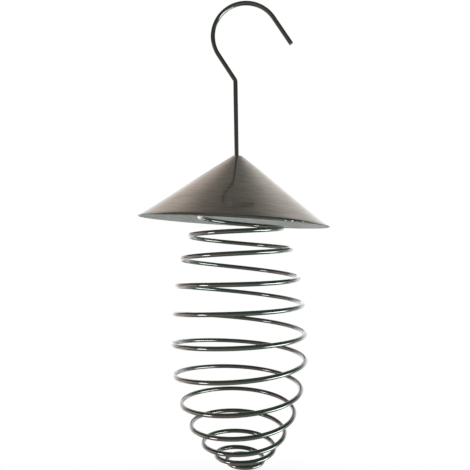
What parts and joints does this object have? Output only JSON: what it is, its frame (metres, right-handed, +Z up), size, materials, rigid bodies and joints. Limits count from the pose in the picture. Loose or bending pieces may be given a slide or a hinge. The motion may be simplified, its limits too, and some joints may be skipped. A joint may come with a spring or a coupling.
{
  "type": "suet feeder",
  "caption": "Hanging fat ball feeder: a wire hook with a rod, a loose sheet cone as a rain roof and one tapering spring of wire as the basket.",
  "frame": {"origin": "where the feeder hangs: the inside of the crown of the hook", "axes": "+Z up along the rod, +X to the right across the hook, -Y towards the viewer of the picture"},
  "size_m": [0.1473, 0.1476, 0.359],
  "materials": {
    "enamelled_wire": "gloss",
    "enamelled_sheet": "gloss"
  },
  "bodies": {
    "hanger": {"hanger": "enamelled_wire"},
    "roof": {"roof": "enamelled_sheet"},
    "coil": {"coil": "enamelled_wire"}
  },
  "joints": [
    {"name": "roof_slide", "type": "slide", "parent": "hanger", "child": "roof", "axis": [-0.0162, 0, 0.9999], "range_m": [0, 0.055]},
    {"name": "coil_swing", "type": "hinge", "parent": "hanger", "child": "coil", "pos_m": [-0.00733, 0, -0.12593], "axis": [0, 1, 0], "range_deg": [-20, 20]}
  ]
}
